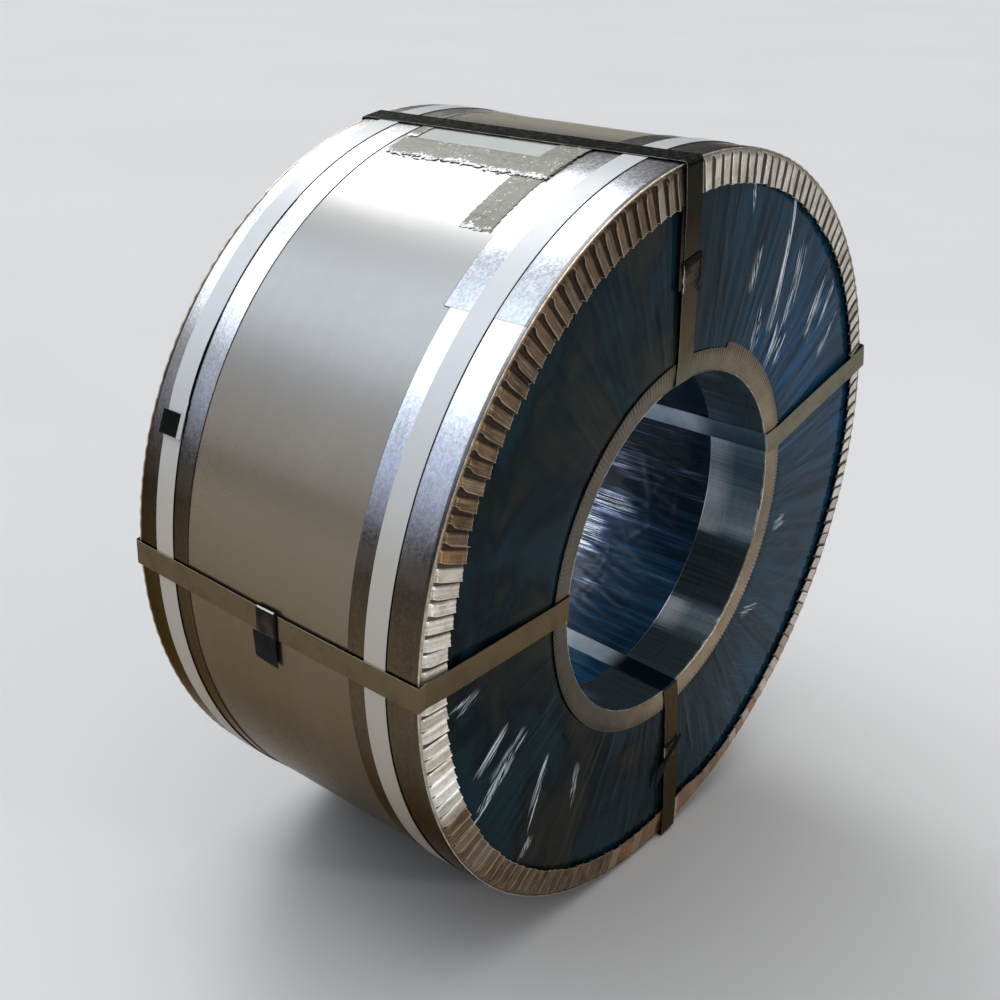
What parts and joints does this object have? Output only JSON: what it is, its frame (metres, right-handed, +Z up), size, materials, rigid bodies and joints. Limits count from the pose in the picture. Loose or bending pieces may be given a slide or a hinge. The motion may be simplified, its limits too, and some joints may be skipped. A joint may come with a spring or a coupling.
{
  "type": "packaged steel coil",
  "caption": "Wound prepainted steel strip coil in transport packing, lying with its bore level, with pleated corner guards, end film and steel straps.",
  "frame": {"origin": "on the floor, straight below the coil's centre", "axes": "+Z up, Y along the bore with the pictured face towards -Y, X across, so the pictured side of the barrel is towards -X"},
  "size_m": [1.0881, 0.5352, 1.0854],
  "materials": {
    "strip_steel": "bare cut edges of the wound prepainted strip",
    "wrapper_sheet": "satin grey painted sheet",
    "blue_film": "glossy blue film, drawn tight with fine creases",
    "galvanised_guard": "galvanised sheet, spangled, with brown rust staining on the flange",
    "white_band": "light grey painted steel banding",
    "dark_band": "dark satin steel banding",
    "seal_steel": "dark crimped steel",
    "label_paper": "blank pale paper",
    "packing_tape": "clear crinkled tape"
  },
  "bodies": {
    "root": {"coil_body": "strip_steel", "outer_wrap": "wrapper_sheet", "end_film": "blue_film", "outer_guard_front": "galvanised_guard", "outer_guard_back": "galvanised_guard", "inner_guard_front": "galvanised_guard", "inner_guard_back": "galvanised_guard", "girth_strap_front": "white_band", "girth_strap_back": "white_band", "tie_strap_top": "dark_band", "tie_strap_left": "dark_band", "tie_strap_bottom": "dark_band", "tie_strap_right": "dark_band", "tie_seal_top": "seal_steel", "tie_seal_left": "seal_steel", "tie_seal_bottom": "seal_steel", "girth_seal_back": "seal_steel", "label_sheet": "label_paper", "label_tape": "packing_tape", "label_tape_front": "packing_tape", "loose_tape": "packing_tape"}
  },
  "joints": []
}
